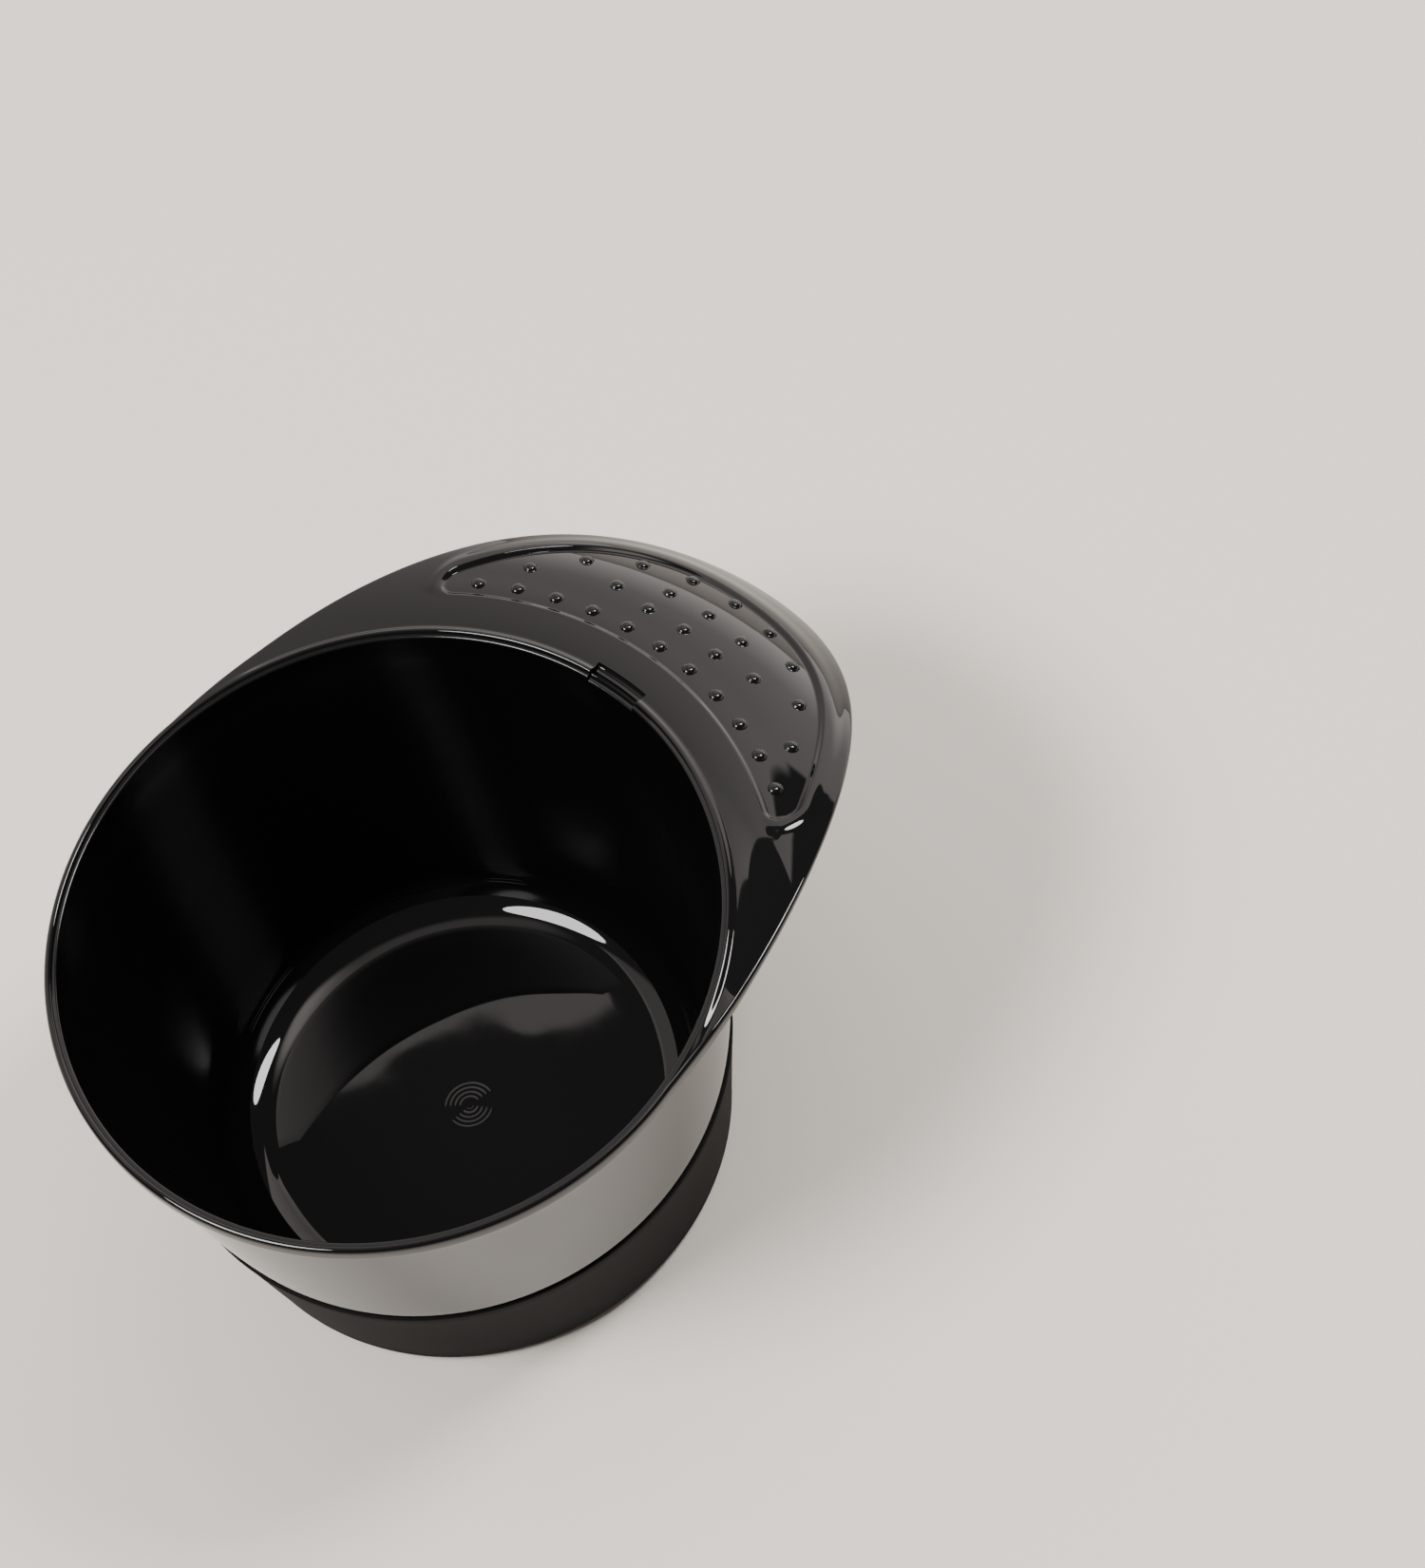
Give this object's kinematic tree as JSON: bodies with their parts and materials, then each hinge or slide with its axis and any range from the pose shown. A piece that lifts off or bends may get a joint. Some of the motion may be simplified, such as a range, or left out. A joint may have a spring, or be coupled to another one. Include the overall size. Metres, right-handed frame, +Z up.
{
  "type": "hair color bowl",
  "caption": "Round tint mixing bowl with a curved, dotted finger-grip brim, a rim notch and a push-on non-slip rubber base ring.",
  "frame": {"origin": "on the table, under the middle of the whole object's length and width; the bowl's own axis is 18.5 mm towards -X", "axes": "+Z up, +X from the bowl towards the tip of the grip, +Y to the left of the grip"},
  "size_m": [0.157, 0.12, 0.076],
  "materials": {
    "bowl_plastic": "gloss black moulded polypropylene",
    "base_rubber": "satin black moulded rubber"
  },
  "bodies": {
    "bowl": {"bowl_shell": "bowl_plastic"},
    "base_ring": {"base_ring": "base_rubber"}
  },
  "joints": [
    {"name": "bowl_lift_out", "type": "slide", "parent": "base_ring", "child": "bowl", "axis": [0, 0, 1], "range_m": [0, 0.03]}
  ]
}
